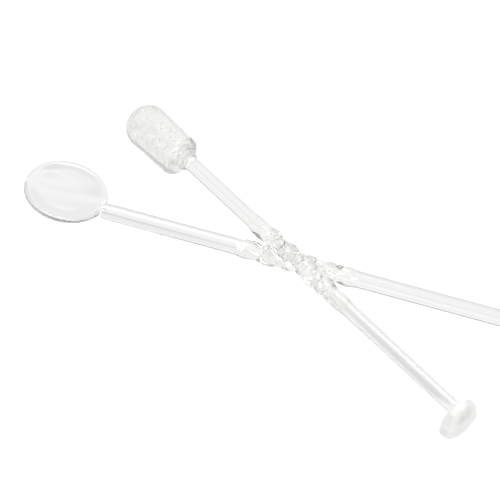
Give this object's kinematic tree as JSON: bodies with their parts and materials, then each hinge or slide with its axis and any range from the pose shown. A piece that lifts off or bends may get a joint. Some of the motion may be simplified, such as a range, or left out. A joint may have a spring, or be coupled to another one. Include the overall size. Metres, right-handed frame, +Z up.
{
  "type": "glass stirrer and muddler pair",
  "caption": "Hot-worked clear glass bar tools lying crossed: a stirrer with a flat disc paddle, and a muddler with a seeded head and button foot, each with a rope-twisted middle.",
  "frame": {"origin": "middle of the pair's bounding box, on the table plane under it", "axes": "+Z up from the table; +X along the stirrer, from its disc towards its plain end"},
  "size_m": [0.233, 0.1536, 0.0315],
  "materials": {
    "clear_glass": "fire-polished, clear, faintly wavy",
    "frosted_glass": "softly hazed clear casing",
    "seeded_glass": "clear, full of small trapped bubbles",
    "pressed_glass": "pressed, with shallow uneven dimples"
  },
  "bodies": {
    "stirrer": {"stirrer_disc": "clear_glass", "stirrer_disc_weld": "clear_glass", "stirrer_lower_gather": "clear_glass", "stirrer_lower_rod": "clear_glass", "stirrer_twist_strand_1": "clear_glass", "stirrer_twist_strand_2": "clear_glass", "stirrer_twist_strand_3": "clear_glass", "stirrer_upper_gather": "clear_glass", "stirrer_upper_rod": "clear_glass"},
    "muddler": {"muddler_foot_button": "pressed_glass", "muddler_foot_collar": "clear_glass", "muddler_head_casing": "frosted_glass", "muddler_head_core": "seeded_glass", "muddler_lower_gather": "clear_glass", "muddler_lower_rod": "clear_glass", "muddler_neck_ring_1": "clear_glass", "muddler_neck_ring_2": "clear_glass", "muddler_twist_strand_1": "clear_glass", "muddler_twist_strand_2": "clear_glass", "muddler_twist_strand_3": "clear_glass", "muddler_upper_gather": "clear_glass", "muddler_upper_rod": "clear_glass"}
  },
  "joints": [
    {"name": "muddler_lift", "type": "slide", "parent": "stirrer", "child": "muddler", "axis": [0, 0, 1], "range_m": [0, 0.06]}
  ]
}
